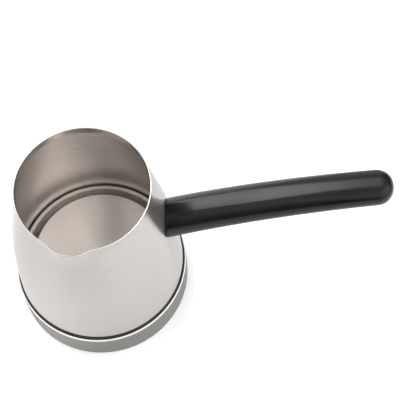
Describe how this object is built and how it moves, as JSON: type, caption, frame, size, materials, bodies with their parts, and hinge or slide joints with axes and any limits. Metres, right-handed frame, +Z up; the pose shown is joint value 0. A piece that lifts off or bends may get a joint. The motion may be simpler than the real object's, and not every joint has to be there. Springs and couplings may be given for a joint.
{
  "type": "electric turkish coffee pot",
  "caption": "Cordless electric cezve: conical steel pot with a side spout, concealed heater base and one long arched handle.",
  "frame": {"origin": "on the plane the pot stands on, under the middle of the bounding box of pot and handle; the pot's own axis is 46.2 mm towards -X", "axes": "+Z up along the pot's axis, +X from the pot out along the handle, and the spout on the -Y side"},
  "size_m": [0.1908, 0.0982, 0.1237],
  "materials": {
    "brushed_steel": "brushed round the pot",
    "plate_steel": "turned",
    "zinc_steel": "zinc plated",
    "aluminium": "mill",
    "bimetal": "rolled",
    "brass": "bright",
    "rubber": "matt silicone",
    "base_plastic": "fine moulded texture",
    "connector_plastic": "moulded",
    "handle_plastic": "satin gloss",
    "ceramic": "unglazed",
    "fuse_sleeve": "woven glass sleeve",
    "lead_red": "silicone",
    "lead_blue": "silicone",
    "lead_green": "silicone"
  },
  "bodies": {
    "pot": {"pot_body": "brushed_steel", "heating_plate": "plate_steel", "base_ring": "brushed_steel", "seal_ring": "rubber", "base_cover": "base_plastic", "cover_stud_1": "zinc_steel", "cover_stud_2": "zinc_steel", "cover_stud_3": "zinc_steel", "cover_screw_1": "zinc_steel", "cover_screw_2": "zinc_steel", "cover_screw_3": "zinc_steel", "connector_housing": "connector_plastic", "earth_contact": "brass", "neutral_contact": "brass", "live_pin": "brass", "connector_screw_1": "zinc_steel", "connector_screw_2": "zinc_steel", "heat_spreader": "aluminium", "heating_element": "zinc_steel", "element_pin_1": "zinc_steel", "element_pin_2": "zinc_steel", "cutout_cap": "aluminium", "bimetal_disc": "bimetal", "cutout_body": "ceramic", "cutout_tab_1": "brass", "cutout_tab_2": "brass", "contact_blade": "brass", "thermal_fuse": "fuse_sleeve", "lead_live": "lead_red", "lead_fuse": "lead_red", "lead_element": "lead_red", "lead_neutral": "lead_blue", "lead_earth": "lead_green", "handle_bracket": "zinc_steel", "handle": "handle_plastic", "handle_screw": "zinc_steel"},
    "cutout_pin": {"cutout_pin": "ceramic"}
  },
  "joints": [
    {"name": "cutout_pin_slide", "type": "slide", "parent": "pot", "child": "cutout_pin", "axis": [0, 0, -1], "range_m": [0, 0.0005], "stiffness_N_per_m": 30}
  ]
}
